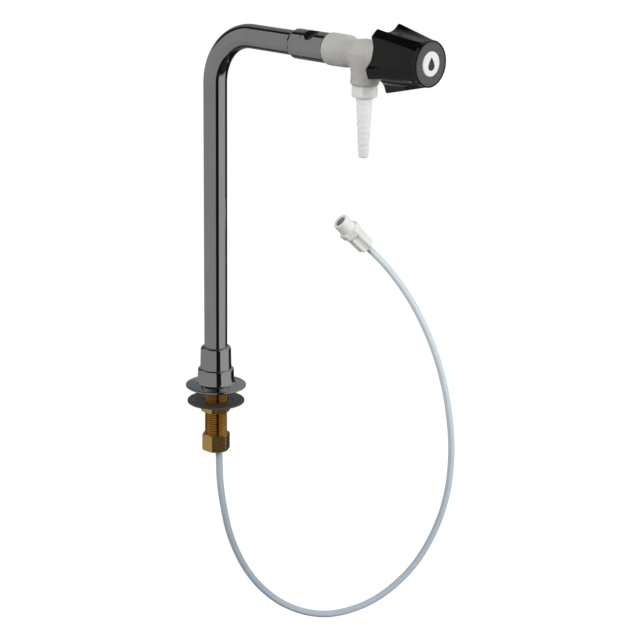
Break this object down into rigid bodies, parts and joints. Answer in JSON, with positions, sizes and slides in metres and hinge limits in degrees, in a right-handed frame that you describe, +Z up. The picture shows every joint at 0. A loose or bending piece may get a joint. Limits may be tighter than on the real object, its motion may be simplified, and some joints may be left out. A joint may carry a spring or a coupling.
{
  "type": "laboratory gooseneck tap",
  "caption": "Deck-mounted laboratory tap: chrome gooseneck on a stepped flange, white valve with serrated hose nozzle, black lobed knob, and a plastic supply tube with male connector below.",
  "frame": {"origin": "on the shank's axis at the underside of the deck flange, where the tap stands on its deck", "axes": "+Z up along the post, +X along the spout arm towards the knob, +Y to the arm's left"},
  "size_m": [0.2786, 0.267, 0.6179],
  "materials": {
    "chrome": "polished chrome on brass",
    "brass": "machined",
    "steel": "dark, rough",
    "white_plastic": "satin natural polypropylene",
    "black_plastic": "gloss",
    "grey_plastic": "satin",
    "rubber": "matte",
    "milky_tube": "milky, translucent"
  },
  "bodies": {
    "base": {"turret": "chrome", "shank": "brass", "coupling_nut": "brass", "swivel_bearing": "white_plastic", "swivel_o_rings": "rubber", "supply_tube": "milky_tube", "connector_body": "white_plastic", "connector_nut": "white_plastic", "connector_ferrule": "white_plastic"},
    "clamp_washer": {"deck_washer": "steel"},
    "clamp_nut": {"locknut": "brass"},
    "spout": {"gooseneck_tube": "chrome", "retaining_ring": "steel", "spout_adapter": "chrome", "liner_tube": "milky_tube", "liner_ferrule": "white_plastic", "valve_body": "white_plastic", "hose_nozzle": "white_plastic", "nozzle_gasket": "rubber", "bonnet": "white_plastic", "bonnet_gasket": "rubber"},
    "plug": {"jumper": "white_plastic", "seat_washer": "rubber"},
    "handle": {"stem": "white_plastic", "stem_packing": "rubber", "knob": "black_plastic", "index_ring": "grey_plastic", "index_button": "white_plastic", "handle_screw": "steel"}
  },
  "joints": [
    {"name": "gooseneck_swivel", "type": "hinge", "parent": "base", "child": "spout", "pos_m": [0, 0, 0], "axis": [0, 0, 1], "range_deg": [-90, 90]},
    {"name": "stem_lift", "type": "slide", "parent": "spout", "child": "plug", "axis": [1, 0, 0], "range_m": [0, 0.004]},
    {"name": "knob_turn", "type": "hinge", "parent": "plug", "child": "handle", "pos_m": [0.204, 0, 0.3318], "axis": [1, 0, 0], "range_deg": [0, 720]},
    {"name": "washer_slide", "type": "slide", "parent": "base", "child": "clamp_washer", "axis": [0, 0, 1], "range_m": [-0.02, 0.0109]},
    {"name": "locknut_turn", "type": "hinge", "parent": "clamp_washer", "child": "clamp_nut", "pos_m": [0, 0, 0], "axis": [0, 0, 1], "range_deg": [-3960, 2160]}
  ],
  "couplings": [
    {"joint": "stem_lift", "follows": "knob_turn", "m_per_rad": 0.00031831},
    {"joint": "washer_slide", "follows": "locknut_turn", "m_per_rad": 0.00028871}
  ]
}
